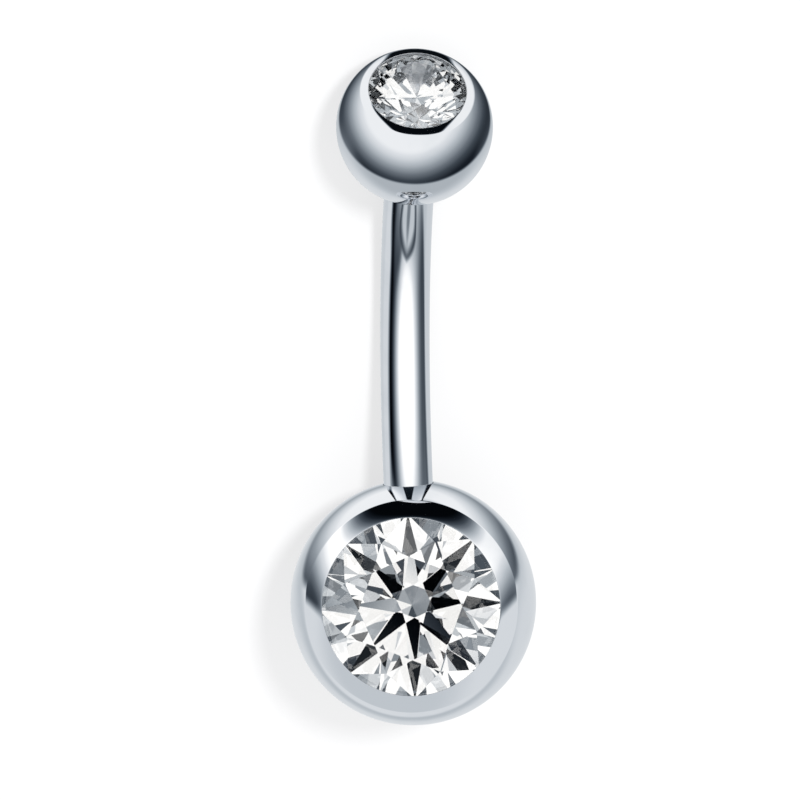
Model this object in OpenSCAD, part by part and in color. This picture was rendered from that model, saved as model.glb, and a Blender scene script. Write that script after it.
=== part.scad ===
// Navel ring: a curved barbell with a large set ball fixed at its lower end and a small set ball
// screwed on its top end. It lies on a flat surface with the large stone up. Millimetres.

/* [Bar] */
// Thickness of the bar
bar_d = 1.6; // [1.2:0.1:2]
// Straight distance between the points where the bar leaves the two balls
bar_length = 11.4; // [8:0.2:13]
// Radius of the bar's bend, along its centre line
bend_r = 15; // [12:0.5:20]

/* [Balls] */
// Diameter of the large ball at the bar's lower end
lower_ball_d = 8; // [7.4:0.1:9]
// Diameter of the small ball at the bar's top end
top_ball_d = 5; // [4.6:0.1:6]
// How far the large ball is turned on the bar, out of the plane of the bend
lower_turn = 8.5; // [-15:0.5:15]
// How far the large stone leans from square with the bar, towards the small ball
lower_lean = 4.5; // [-2:0.5:8]

/* [Stones] */
// Diameter of the large ball's stone
lower_stone_d = 6; // [5:0.1:6.4]
// Diameter of the small ball's stone
top_stone_d = 3.2; // [2.6:0.1:3.4]
// Width of the flat table over its corners, as a share of the stone's diameter
table_share = 0.56; // [0.5:0.01:0.62]
// Slope of the crown's main facets
crown_angle = 34.5; // [31:0.5:37]
// Slope of the pavilion's main facets
pavilion_angle = 40.75; // [39:0.25:43]
// How far the star facets reach from the table to the girdle
star_share = 0.5; // [0.4:0.05:0.6]
// How far the lower halves reach from the girdle to the culet
lower_half_share = 0.77; // [0.7:0.01:0.85]
// Height of the girdle, as a share of the stone's diameter
girdle_share = 0.03; // [0.025:0.005:0.05]

/* [Settings] */
// How far the lip reaches over the large stone's edge
lower_lip_over = 0.12; // [0.06:0.01:0.2]
// Width of the band round the large stone
lower_band = 0.57; // [0.4:0.01:0.65]
// Height of the large band's inner edge over its outer edge
lower_band_rise = 0.26; // [0.2:0.01:0.35]
// How far the lip reaches over the small stone's edge
top_lip_over = 0.055; // [0.03:0.005:0.1]
// Width of the band round the small stone
top_band = 0.275; // [0.22:0.005:0.32]
// Height of the small band's inner edge over its outer edge
top_band_rise = 0.1; // [0.06:0.01:0.16]
// Thickness of the lip at its inner edge
lip_edge = 0.03; // [0.02:0.005:0.05]
// Metal left between a stone's seat and the hole behind it
seat_wall = 0.3; // [0.2:0.05:0.4]

/* [Thread] */
// Width of the shoulder that the small ball is screwed down to
shoulder = 0.2; // [0.15:0.01:0.25]
// Depth of the recess that takes the bar's shoulder into the small ball
shoulder_recess = 0.15; // [0.1:0.05:0.3]
// Distance from one turn of the thread to the next
thread_pitch = 0.25; // [0.2:0.05:0.35]
// Depth of the thread's grooves
thread_depth = 0.13; // [0.08:0.01:0.15]

/* [Lie] */
// How far the bow hangs out of upright, weighed over by the turned large ball
bow_lean = 5.5; // [0:0.5:15]

/* [Clearances] */
// Gap all round a stone in its seat
stone_gap = 0.04; // [0.03:0.005:0.06]
// Gap round the peg in the large ball, and at its end
peg_gap = 0.02; // [0.01:0.005:0.04]
// Gap round the thread and the shoulder in the small ball
thread_gap = 0.03; // [0.02:0.005:0.06]
// Gap between the shoulder and the small ball, and at the thread's tip
end_gap = 0.03; // [0.02:0.01:0.1]
// How much thinner the bar's straight ends are than its bend
end_relief = 0.01; // [0.005:0.005:0.03]

/* [Hidden] */
$fn = 96;

bar_r = bar_d / 2;
lower_ball_r = lower_ball_d / 2;
top_ball_r = top_ball_d / 2;
thread_r = bar_r - shoulder;
end_r = bar_r - end_relief;
// How far one part of the bar runs into the next
run_in = bar_r / 16;

// A round brilliant of radius 1: eight main facets on each side, with its girdle's top at height 0.
mains = 8;
half_turn = 180 / mains;
quarter_turn = half_turn / 2;
girdle_steps = 5;
girdle_sides = 2 * mains * girdle_steps;
girdle_1 = 2 * girdle_share;
crown_tan = tan(crown_angle);
pavilion_tan = tan(pavilion_angle);
table_flat_1 = table_share * cos(half_turn);
star_1 = table_flat_1 + star_share * (1 - table_flat_1);
table_z1 = (1 - table_share) * crown_tan;
star_z1 = (1 - star_1 * cos(half_turn)) * crown_tan;
upper_tan = star_z1 / (1 - star_1) / cos(quarter_turn);
upper_cos = cos(atan(upper_tan));
lower_1 = 1 - lower_half_share;
lower_z1 = -girdle_1 - (1 - lower_1 * cos(half_turn)) * pavilion_tan;
lower_tan = (-girdle_1 - lower_z1) / (1 - lower_1) / cos(quarter_turn);
culet_z1 = -girdle_1 - pavilion_tan;
// The pavilion bulges this far under the cone through its main facets' middle lines
bulge_1 = lower_1 * (1 - cos(half_turn)) * pavilion_tan;

// The bar in its own plane: the large ball's centre at 0, first along Y, then bending up to Z
lower_meet = sqrt(pow(lower_ball_r, 2) - pow(bar_r, 2));
top_meet = sqrt(pow(top_ball_r, 2) - pow(bar_r, 2));
bend_angle = 2 * asin(bar_length / 2 / bend_r);
top_y = lower_meet + bend_r * sin(bend_angle) + top_meet * cos(bend_angle);
top_z = bend_r * (1 - cos(bend_angle)) + top_meet * sin(bend_angle);

// The seats, as [height of the stone's girdle top, height of the seat's lowest point] over the ball's centre
lower_seat = seat_levels(lower_ball_r, lower_stone_d / 2, lower_lip_over, lower_band, lower_band_rise);
top_seat = seat_levels(top_ball_r, top_stone_d / 2, top_lip_over, top_band, top_band_rise);
cone_angle = pavilion_angle - lower_lean;
peg_in = lower_seat[1] * sin(lower_lean) + (bar_r - lower_seat[1] * cos(lower_lean)) / tan(cone_angle)
    + seat_wall / sin(cone_angle);
bore_end = top_seat[1] - seat_wall;
shoulder_at = shoulder_recess - top_meet;

// How it lies: on both balls, with the bow hanging between them. A bow that reaches below the line under
// the balls lies on the surface too, leant over. The slope is the line of centres', down to the small ball.
span = norm([top_y, top_z]);
rise = atan2(top_z, top_y);
slope = asin((lower_ball_r - top_ball_r) / span);
bend_y = lower_meet * cos(rise) + bend_r * sin(rise);
bend_z = bend_r * cos(rise) - lower_meet * sin(rise);
bow_height = lower_ball_r - bar_r - bend_y * sin(slope);
lie_a = pow(bend_z, 2) - pow(bend_r, 2);
lie_b = 2 * bend_z * bow_height;
lie_c = pow(bow_height, 2) - pow(bend_r * sin(slope), 2);
lie_root = (-lie_b - sqrt(pow(lie_b, 2) - 4 * lie_a * lie_c)) / (2 * lie_a);
lean = max(bow_lean, acos(min(1, lie_root / cos(slope))));
lower_y = (span * cos(slope) + top_ball_r - lower_ball_r) / 2;

function lip_level(ball_r, lip_r, band, band_rise) =
    sqrt(pow(ball_r, 2) - pow(lip_r + band, 2)) + band_rise;

function seat_levels(ball_r, stone_r, lip_over, band, band_rise) =
    let (lip_z = lip_level(ball_r, stone_r - lip_over, band, band_rise))
    let (girdle_z = lip_z - lip_edge - lip_over * upper_tan - stone_gap / upper_cos)
    [girdle_z, girdle_z + stone_r * (culet_z1 - bulge_1) - stone_gap / cos(pavilion_angle)];

function spot(a, r, z) = [r * cos(a), r * sin(a), z];

function ring(count, r, z, start = 0) = [for (i = [0:count - 1]) spot(start + i * 360 / count, r, z)];

// Height that the girdle's edge gives up to a half facet with this slope, at step i round the girdle
function half_dip(i, slope_tan) =
    let (a = (i % girdle_steps) * half_turn / girdle_steps)
    (cos(a - quarter_turn) - cos(quarter_turn)) * slope_tan;

// Points, in order: table, star tips, girdle's top, girdle's bottom, lower tips, culet
function brilliant_points() = concat(
    ring(mains, table_share, table_z1),
    ring(mains, star_1, star_z1, half_turn),
    [for (i = [0:girdle_sides - 1]) spot(i * 360 / girdle_sides, 1, -half_dip(i, upper_tan))],
    [for (i = [0:girdle_sides - 1]) spot(i * 360 / girdle_sides, 1, half_dip(i, lower_tan) - girdle_1)],
    ring(mains, lower_1, lower_z1, half_turn),
    [[0, 0, culet_z1]]);

// A round brilliant of the radius given, with its girdle's top at height 0
module round_brilliant(r) {
    star = mains;
    top = 2 * mains;
    bottom = top + girdle_sides;
    low = bottom + girdle_sides;
    culet = low + mains;
    tip = 2 * girdle_steps;
    table_face = [[for (k = [mains - 1:-1:0]) k]];
    stars = [for (k = [0:mains - 1]) [k, (k + 1) % mains, star + k]];
    kites = [for (k = [0:mains - 1]) [k, star + k, top + k * tip, star + (k + mains - 1) % mains]];
    upper_halves = [for (j = [0:2 * mains - 1]) concat([star + floor(j / 2)],
        [for (i = [girdle_steps:-1:0]) top + (j * girdle_steps + i) % girdle_sides])];
    girdle = [for (i = [0:girdle_sides - 1]) let (n = (i + 1) % girdle_sides)
        [top + i, top + n, bottom + n, bottom + i]];
    lower_halves = [for (j = [0:2 * mains - 1]) concat([low + floor(j / 2)],
        [for (i = [0:girdle_steps]) bottom + (j * girdle_steps + i) % girdle_sides])];
    low_kites = [for (k = [0:mains - 1])
        [bottom + k * tip, low + k, culet, low + (k + mains - 1) % mains]];
    polyhedron(
        points = r * brilliant_points(),
        faces = concat(table_face, stars, kites, upper_halves, girdle, lower_halves, low_kites));
}

// Everything over the band, turned about Z, that is taken off a ball
module band_cut(ball_r, lip_r, band, band_rise) {
    lip_z = lip_level(ball_r, lip_r, band, band_rise);
    out_r = ball_r + band;
    rotate_extrude() polygon([
        [0, lip_z],
        [lip_r, lip_z],
        [out_r, lip_z - (out_r - lip_r) * band_rise / band],
        [out_r, ball_r + band],
        [0, ball_r + band]]);
}

// The hollow that holds a stone, turned about Z: a cone under it, a wall round its girdle and a lip over its edge
module stone_seat(levels, ball_r, stone_r, lip_over) {
    wall_r = stone_r + stone_gap;
    lip_r = stone_r - lip_over;
    lip_z = levels[0] + lip_over * upper_tan + stone_gap / upper_cos;
    rotate_extrude() polygon([
        [0, levels[1]],
        [wall_r, levels[1] + wall_r * pavilion_tan],
        [wall_r, lip_z - (wall_r - lip_r) * upper_tan],
        [lip_r, lip_z],
        [lip_r, ball_r + stone_r],
        [0, ball_r + stone_r]]);
}

// A ball at 0 with its setting's axis along Z
module set_ball(ball_r, levels, stone_r, lip_over, band, band_rise) {
    difference() {
        sphere(ball_r);
        band_cut(ball_r, stone_r - lip_over, band, band_rise);
        stone_seat(levels, ball_r, stone_r, lip_over);
    }
}

// A round rod along Y
module rod(r, from, to) {
    translate([0, from, 0]) rotate([-90, 0, 0]) cylinder(h = to - from, r = r);
}

// The whole ring is modelled in the bar's plane and laid down from there, with its stones facing -Y
module at_rest() {
    translate([0, lower_y, lower_ball_r]) rotate([0, 0, 180])
        rotate([-slope, 0, 0]) rotate([0, lean, 0]) rotate([-rise, 0, 0]) children();
}

// The small ball's centre, with Y along the bar's top end
module at_top() {
    translate([0, top_y, top_z]) rotate([bend_angle, 0, 0]) children();
}

module at_lower_stone() {
    rotate([0, -lower_turn, 0]) rotate([-lower_lean, 0, 0]) children();
}

// The setting's axis, from Z to the bar's own direction
module along_bar() {
    rotate([-90, 0, 0]) children();
}

// The thread's grooves as rings, from the shoulder to the tip. Its core runs into the bar under the shoulder.
module thread(from, to) {
    turns = floor((to - from) / thread_pitch);
    root_r = thread_r - thread_depth;
    grooves = [for (i = [0:turns - 1]) each [
        [thread_r, from + i * thread_pitch],
        [root_r, from + (i + 0.5) * thread_pitch]]];
    along_bar() rotate_extrude() polygon(concat(
        [[0, from - run_in], [root_r, from - run_in]],
        grooves,
        [[thread_r, from + turns * thread_pitch], [root_r, to], [0, to]]));
}

module curved_bar() {
    color("silver") at_rest() {
        union() {
            rod(end_r, peg_in + peg_gap, lower_meet + run_in);
            translate([0, lower_meet, bend_r]) rotate([0, 90, 0])
                rotate_extrude(angle = bend_angle) translate([bend_r, 0]) circle(bar_r);
            at_top() {
                rod(end_r, -top_meet - run_in, shoulder_at);
                thread(shoulder_at, bore_end - end_gap);
            }
        }
    }
}

module lower_ball() {
    color("lightsteelblue") at_rest() difference() {
        at_lower_stone() set_ball(lower_ball_r, lower_seat, lower_stone_d / 2,
            lower_lip_over, lower_band, lower_band_rise);
        rod(bar_r + peg_gap, peg_in, lower_ball_d);
    }
}

module lower_gem() {
    color("white") at_rest() at_lower_stone() translate([0, 0, lower_seat[0]])
        round_brilliant(lower_stone_d / 2);
}

module top_ball() {
    color("lightsteelblue") at_rest() at_top() difference() {
        along_bar() set_ball(top_ball_r, top_seat, top_stone_d / 2,
            top_lip_over, top_band, top_band_rise);
        rod(bar_r + thread_gap, -top_ball_d, shoulder_at + end_gap);
        rod(thread_r + thread_gap, -top_ball_d, bore_end);
    }
}

module top_gem() {
    color("white") at_rest() at_top() along_bar() translate([0, 0, top_seat[0]])
        round_brilliant(top_stone_d / 2);
}

curved_bar();
lower_ball();
lower_gem();
top_ball();
top_gem();
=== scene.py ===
"""Dresses a navel ring: a bent steel bar between a large and a small steel ball, each set with a clear stone.

The bar and the balls are surfaces worked out from the ring's own sizes. The two stones are the frame's
solids, with a clear finish. Sizes are in millimetres, and become metres when a mesh is made.
"""
from __future__ import annotations

import logging
import math
from dataclasses import dataclass, field
from enum import Enum
from typing import Any, ClassVar, Mapping, Sequence, Union

import bpy
import numpy as np
from mathutils import Matrix

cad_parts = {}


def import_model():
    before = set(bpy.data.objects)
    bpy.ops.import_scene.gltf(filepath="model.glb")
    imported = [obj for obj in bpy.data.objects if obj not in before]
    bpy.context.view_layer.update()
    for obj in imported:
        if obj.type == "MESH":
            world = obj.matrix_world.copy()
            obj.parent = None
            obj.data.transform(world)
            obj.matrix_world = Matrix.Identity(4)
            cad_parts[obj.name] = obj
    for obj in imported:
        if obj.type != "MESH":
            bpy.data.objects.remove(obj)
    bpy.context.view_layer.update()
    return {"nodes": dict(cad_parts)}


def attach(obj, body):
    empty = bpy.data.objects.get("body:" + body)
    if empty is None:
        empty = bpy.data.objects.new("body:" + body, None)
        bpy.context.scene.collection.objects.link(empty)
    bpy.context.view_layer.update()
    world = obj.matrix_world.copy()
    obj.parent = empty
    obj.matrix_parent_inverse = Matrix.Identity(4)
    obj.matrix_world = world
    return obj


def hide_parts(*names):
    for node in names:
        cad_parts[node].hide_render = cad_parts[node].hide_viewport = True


LOG = logging.getLogger("navel_ring")
MM = 0.001
# Keeps roots and comparisons clear of rounding
TINY = 1e-9
Array = np.ndarray
Pair = tuple[float, float]
Triple = tuple[float, float, float]


# Places and turns


class Axis(Enum):
    """The axis that a turn goes round."""

    X = 0
    Y = 1
    Z = 2


def turn_about(axis: Axis, degrees: float) -> Array:
    """Gives the matrix of a turn about one axis, anticlockwise seen from that axis's tip.

    Args:
        axis: The axis that stays still.
        degrees: How far to turn.

    Returns:
        A 3 x 3 rotation matrix.
    """
    c, s = math.cos(math.radians(degrees)), math.sin(math.radians(degrees))
    j, k = (axis.value + 1) % 3, (axis.value + 2) % 3
    turn = np.eye(3)
    turn[j, j], turn[j, k], turn[k, j], turn[k, k] = c, -s, s, c
    return turn


def unit(vectors: Array) -> Array:
    """Scales vectors to length 1 along their last axis."""
    return vectors / np.linalg.norm(vectors, axis=-1, keepdims=True)


@dataclass(frozen=True)
class Placement:
    """A turn and then a shift, from a part's own axes to the row frame, in millimetres."""

    turn: Array
    shift: Array = field(default_factory=lambda: np.zeros(3))

    def points(self, points: Array) -> Array:
        """Carries points from the part's axes to the row frame."""
        return points @ self.turn.T + self.shift

    def directions(self, directions: Array) -> Array:
        """Carries directions, which the shift leaves alone."""
        return directions @ self.turn.T

    def holding(self, inner: Placement) -> Placement:
        """Gives the placement of a part that is placed inside this one.

        Args:
            inner: The part's placement in this one's axes.

        Returns:
            The part's placement in the row frame.
        """
        return Placement(self.turn @ inner.turn, self.points(inner.shift))


# Profiles, as rows of (distance from an axis, height along it)


def straight(start: Sequence[float], end: Sequence[float], count: int) -> Array:
    """Gives points on a line, without its first: start + (end - start) t, with t in even steps to 1."""
    t = np.linspace(0, 1, count + 1)[1:, None]
    return np.asarray(start) * (1 - t) + np.asarray(end) * t


def rounded(before: Sequence[float], corner: Sequence[float], after: Sequence[float], count: int) -> Array:
    """Rounds a corner off with a parabola that leaves and meets the lines on either side smoothly.

    The point at t is (1 - t)^2 before + 2 t (1 - t) corner + t^2 after.

    Args:
        before: Where the rounding starts.
        corner: The sharp corner that it takes away.
        after: Where the rounding ends.
        count: How many steps it has.

    Returns:
        The points after the first, up to and with the last.
    """
    t = np.linspace(0, 1, count + 1)[1:, None]
    b, c, a = (np.asarray(p, float) for p in (before, corner, after))
    return (1 - t) ** 2 * b + 2 * t * (1 - t) * c + t**2 * a


def on_circle(radius: float, angle: float | Array) -> Array:
    """Gives points on a circle round 0, at angles from the axis in radians: radius (sin angle, cos angle)."""
    return radius * np.stack([np.sin(angle), np.cos(angle)], -1)


# Meshes


@dataclass
class ClosedSurface:
    """Rings of as many points each, from one pole to another, closed round and at both ends."""

    rings: Array
    first_pole: Array
    last_pole: Array

    def corners(self) -> tuple[Array, Array]:
        """Lists the faces: a fan of triangles at each pole, and four-sided faces from ring to ring.

        Face (i, j) joins points j and j + 1 of ring i to the same points of ring i + 1.

        Returns:
            The triangles and the four-sided faces, as rows of point numbers.
        """
        rows, columns = self.rings.shape[:2]
        here = np.arange(columns)
        after = (here + 1) % columns
        first, last = rows * columns, rows * columns + 1
        end = (rows - 1) * columns
        fans = np.concatenate([
            np.stack([np.full(columns, first), after, here], 1),
            np.stack([np.full(columns, last), end + here, end + after], 1),
        ])
        up = np.arange(rows - 1)[:, None] * columns
        quads = np.stack([up + here, up + after, up + columns + after, up + columns + here], -1)
        return fans, quads.reshape(-1, 4)

    def volume(self, points: Array, fans: Array, quads: Array) -> float:
        """Gives the volume inside, under 0 if the faces point inwards.

        It is a sixth of the sum of a . (b x c) over all triangles a, b, c.

        Args:
            points: The surface's points.
            fans: Its triangles.
            quads: Its four-sided faces.

        Returns:
            The signed volume.
        """
        tri = np.concatenate([fans, quads[:, [0, 1, 2]], quads[:, [0, 2, 3]]])
        a, b, c = (points[tri[:, k]] for k in range(3))
        return float(np.einsum("ij,ij->i", a, np.cross(b, c)).sum() / 6)

    def mesh(self, name: str) -> bpy.types.Mesh:
        """Makes the mesh in metres, with its faces outwards and smooth.

        Args:
            name: The mesh's name.

        Returns:
            The new mesh.
        """
        points = np.concatenate([self.rings.reshape(-1, 3), self.first_pole[None], self.last_pole[None]])
        fans, quads = self.corners()
        if self.volume(points, fans, quads) < 0:
            fans, quads = fans[:, ::-1], quads[:, ::-1]
        starts = np.concatenate([np.arange(len(fans)) * 3, len(fans) * 3 + np.arange(len(quads)) * 4])
        loops = np.concatenate([fans.ravel(), quads.ravel()])
        mesh = bpy.data.meshes.new(name)
        mesh.vertices.add(len(points))
        mesh.vertices.foreach_set("co", (points * MM).astype(np.float32).ravel())
        mesh.loops.add(len(loops))
        mesh.loops.foreach_set("vertex_index", loops.astype(np.int32))
        mesh.polygons.add(len(starts))
        mesh.polygons.foreach_set("loop_start", starts.astype(np.int32))
        mesh.update(calc_edges=True)
        mesh.validate()
        mesh.shade_smooth()
        return mesh


def show(mesh: bpy.types.Mesh, material: bpy.types.Material) -> bpy.types.Object:
    """Puts a mesh into the scene at the origin, with its finish.

    Args:
        mesh: A mesh with its place in its points.
        material: The finish.

    Returns:
        The new object.
    """
    mesh.materials.append(material)
    shown = bpy.data.objects.new(mesh.name, mesh)
    bpy.context.scene.collection.objects.link(shown)
    return shown


# Shader arithmetic


class Signal:
    """A number that varies over a surface. Arithmetic on it adds Math nodes."""

    def __init__(self, sheet: NodeSheet, socket: bpy.types.NodeSocket) -> None:
        """Wraps one output of a node."""
        self.sheet = sheet
        self.socket = socket

    def math(self, operation: str, *others: Operand) -> Signal:
        """Adds a Math node that starts from this signal.

        Args:
            operation: The Math node's operation.
            others: What goes into its other sockets.

        Returns:
            The node's result.
        """
        return self.sheet.math(operation, self, *others)

    def __add__(self, other: Operand) -> Signal:
        """Gives self + other."""
        return self.math("ADD", other)

    def __radd__(self, other: Operand) -> Signal:
        """Gives other + self."""
        return self.sheet.math("ADD", other, self)

    def __sub__(self, other: Operand) -> Signal:
        """Gives self - other."""
        return self.math("SUBTRACT", other)

    def __rsub__(self, other: Operand) -> Signal:
        """Gives other - self."""
        return self.sheet.math("SUBTRACT", other, self)

    def __mul__(self, other: Operand) -> Signal:
        """Gives self times other."""
        return self.math("MULTIPLY", other)

    def __rmul__(self, other: Operand) -> Signal:
        """Gives other times self."""
        return self.sheet.math("MULTIPLY", other, self)

    def __truediv__(self, other: Operand) -> Signal:
        """Gives self over other."""
        return self.math("DIVIDE", other)

    def __pow__(self, other: Operand) -> Signal:
        """Gives self to the power other."""
        return self.math("POWER", other)

    def step(self, low: float, high: float) -> Signal:
        """Rises smoothly from 0 at low to 1 at high, or falls from 1 to 0 where high is below low.

        Args:
            low: Where the result is 0.
            high: Where the result is 1.

        Returns:
            The smooth step.
        """
        falls = high < low
        ends = {"From Min": high if falls else low, "From Max": low if falls else high}
        smooth = {"interpolation_type": "SMOOTHSTEP"}
        node = self.sheet.node("ShaderNodeMapRange", smooth, {"Value": self, **ends})
        rise = Signal(self.sheet, node.outputs["Result"])
        return 1 - rise if falls else rise


Operand = Union[Signal, float, int]
Tint = Union[Triple, bpy.types.NodeSocket]


@dataclass(frozen=True)
class Grain:
    """The grain of a noise: how many features it has to a metre, its finer layers, and their strength."""

    scale: float
    detail: float = 2.0
    roughness: float = 0.5


class NodeSheet:
    """A node tree being drawn up."""

    def __init__(self, tree: bpy.types.NodeTree) -> None:
        """Starts on a tree with nothing in it."""
        self.tree = tree
        tree.nodes.clear()

    def node(self, kind: str, settings: Mapping[str, Any] | None = None,
             inputs: Mapping[Union[str, int], Any] | None = None) -> bpy.types.Node:
        """Adds a node of any type.

        Args:
            kind: The node's type.
            settings: Its properties, set first. "stops" gives a ramp its (place, colour) pairs.
            inputs: The values or links of its sockets, by name or number.

        Returns:
            The new node.
        """
        made = self.tree.nodes.new(kind)
        for key, value in (settings or {}).items():
            if key == "stops":
                self._stops(made, value)
            else:
                setattr(made, key, value)
        for key, value in (inputs or {}).items():
            if isinstance(value, Signal):
                self.tree.links.new(value.socket, made.inputs[key])
            elif isinstance(value, bpy.types.NodeSocket):
                self.tree.links.new(value, made.inputs[key])
            else:
                made.inputs[key].default_value = value
        return made

    @staticmethod
    def _stops(ramp: bpy.types.Node, stops: Sequence[tuple[float, Triple]]) -> None:
        """Gives a colour ramp its stops.

        Args:
            ramp: The ramp's node.
            stops: The place and the colour of each, in order.
        """
        elements = ramp.color_ramp.elements
        while len(elements) < len(stops):
            elements.new(1.0)
        for element, (place, colour) in zip(elements, stops):
            element.position = place
            element.color = (*colour, 1.0)

    def math(self, operation: str, *values: Operand) -> Signal:
        """Adds a Math node.

        Args:
            operation: What it works out.
            values: What goes into its sockets, in order.

        Returns:
            Its result.
        """
        node = self.node("ShaderNodeMath", {"operation": operation}, dict(enumerate(values)))
        return Signal(self, node.outputs[0])

    def vector_math(self, operation: str, *values: Any) -> bpy.types.Node:
        """Adds a Vector Math node, with values or links in its sockets in order."""
        return self.node("ShaderNodeVectorMath", {"operation": operation}, dict(enumerate(values)))

    def position(self) -> bpy.types.NodeSocket:
        """Gives the place on the object, in metres in the row frame."""
        return self.node("ShaderNodeTexCoord").outputs["Object"]

    def along(self, vector: bpy.types.NodeSocket, direction: Sequence[float]) -> Signal:
        """Gives how far a vector reaches in a direction: their dot product."""
        return Signal(self, self.vector_math("DOT_PRODUCT", vector, tuple(direction)).outputs["Value"])

    def round_axis(self, place: Placement) -> tuple[Signal, Signal]:
        """Gives where the surface is by the Z axis of a placement, in millimetres.

        Args:
            place: The placement.

        Returns:
            The distance from the axis, and the height along it.
        """
        here = self.position()
        x, y, z = (self.along(here, axis / MM) - float(axis @ place.shift) for axis in place.turn.T)
        return (x * x + y * y) ** 0.5, z

    def stretched(self, vector: bpy.types.NodeSocket, factors: Triple) -> bpy.types.NodeSocket:
        """Multiplies a vector's three numbers by three factors."""
        return self.vector_math("MULTIPLY", vector, factors).outputs[0]

    def noise(self, vector: bpy.types.NodeSocket, grain: Grain) -> Signal:
        """Adds smooth noise, from 0 to 1 with its middle at a half.

        Args:
            vector: The place that it is read at.
            grain: How fine it is.

        Returns:
            The noise.
        """
        node = self.node("ShaderNodeTexNoise", None, {
            "Vector": vector,
            "Scale": grain.scale,
            "Detail": grain.detail,
            "Roughness": grain.roughness,
        })
        return Signal(self, node.outputs[0])

    def blend(self, amount: Operand, first: Tint, second: Tint) -> bpy.types.NodeSocket:
        """Mixes two colours.

        Args:
            amount: How much there is of the second.
            first: The colour at 0.
            second: The colour at 1.

        Returns:
            The mixed colour.
        """
        ends = {6: first, 7: second}
        inputs = {k: (*c, 1.0) if isinstance(c, tuple) else c for k, c in ends.items()}
        return self.node("ShaderNodeMix", {"data_type": "RGBA"}, {0: amount, **inputs}).outputs[2]

    def output(self, shader: bpy.types.NodeSocket) -> None:
        """Sends a shader to the surface."""
        self.node("ShaderNodeOutputMaterial", None, {"Surface": shader})


def blank_material(name: str) -> tuple[bpy.types.Material, NodeSheet]:
    """Makes a material with nothing in it.

    Args:
        name: The material's name.

    Returns:
        The material, and its node tree to be drawn up.
    """
    made = bpy.data.materials.new(name)
    made.use_nodes = True
    return made, NodeSheet(made.node_tree)


# Finishes


@dataclass(frozen=True)
class TurnedSeat:
    """Where a setting's seat is, which has its own roughness and painted tone: a cone, and a wall up to the
    lip.

    The sizes are the wall's radius, the cone's lowest point, its slope, and the height where the lip starts.
    The fades say where the seat's roughness and painted tone start to go and where they have gone: past the
    wall, as shares of its radius, under the lip, and under the cone.
    """

    place: Placement
    wall_r: float
    floor: float
    slope: float
    top: float
    wall_fade: Pair = (1.002, 1.01)
    lip_fade: float = 0.02
    cone_fade: Pair = (0.02, 0.05)

    def mask(self, sheet: NodeSheet) -> Signal:
        """Works out which of a ball's surface is the seat.

        With r the distance from the setting's axis and z the height, it is where r is under the wall's
        radius, z is under the top, and z is over the cone's floor + slope r, less a little.

        Args:
            sheet: The node tree.

        Returns:
            1 on the seat and 0 elsewhere.
        """
        out, z = sheet.round_axis(self.place)
        near, gone = self.wall_fade
        inside = out.step(self.wall_r * gone, self.wall_r * near)
        under_lip = z.step(self.top, self.top - self.lip_fade)
        near, gone = self.cone_fade
        over_cone = (z - out * self.slope).step(self.floor - gone, self.floor - near)
        return inside * under_lip * over_cone


@dataclass(frozen=True)
class PolishedSteel:
    """Steel polished to a mirror, with the faint waves, haze and hairlines that polishing leaves.

    The tints are those of the clear steel and of its haze. The seat has a roughness of its own, and its tint is
    painted: by default near black, as painted shade in the seat's hollow under its stone; set near white, it is
    painted light that the stone lets onto the seat. Haze and hairlines come in between the two levels of their
    noise, and each adds to the roughness. Heights are in millimetres.
    """

    name: str
    seat: TurnedSeat | None = None
    bright: Triple = (0.80, 0.82, 0.85)
    dull: Triple = (0.74, 0.765, 0.80)
    # Near black: painted shade in the seat's hollow under the stone, not the steel's own colour
    painted_seat_tone: Triple = (0.035, 0.038, 0.042)
    seat_roughness: float = 0.55
    smooth: float = 0.028
    haze: float = 0.05
    haze_grain: Grain = Grain(420.0, 4.0, 0.6)
    haze_levels: Pair = (0.48, 0.75)
    wave_grain: Grain = Grain(520.0, 1.0, 0.4)
    wave_height: float = 0.0006
    hairline_grain: Grain = Grain(16000.0, 2.0, 0.7)
    hairline_levels: Pair = (0.55, 0.8)
    hairline_haze: float = 0.02
    hairline_stretch: Triple = (1.0, 0.03, 1.0)
    hairline_height: float = 0.00003

    def material(self) -> bpy.types.Material:
        """Makes the material.

        Returns:
            A metal whose roughness, tint and bump all vary slightly over the piece.
        """
        made, sheet = blank_material(self.name)
        place = sheet.position()
        waves = sheet.noise(place, self.wave_grain)
        hairlines = sheet.noise(sheet.stretched(place, self.hairline_stretch), self.hairline_grain)
        worn = sheet.noise(place, self.haze_grain).step(*self.haze_levels)
        scratched = hairlines.step(*self.hairline_levels)
        roughness = self.smooth + worn * self.haze + scratched * self.hairline_haze
        tint = sheet.blend(worn, self.bright, self.dull)
        if self.seat is not None:
            seated = self.seat.mask(sheet)
            roughness = roughness + seated * (self.seat_roughness - roughness)
            # Paints the seat's tone over the steel: painted shade where it is near black, painted light where
            # it is near white
            tint = sheet.blend(seated, tint, self.painted_seat_tone)
        height = waves * (self.wave_height * MM) + hairlines * (self.hairline_height * MM)
        bump = sheet.node("ShaderNodeBump", None, {"Strength": 1.0, "Distance": 1.0, "Height": height})
        steel = sheet.node("ShaderNodeBsdfPrincipled", None, {
            "Base Color": tint,
            "Metallic": 1.0,
            "Roughness": roughness,
            "Normal": bump.outputs[0],
        })
        sheet.output(steel.outputs[0])
        return made


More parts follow.
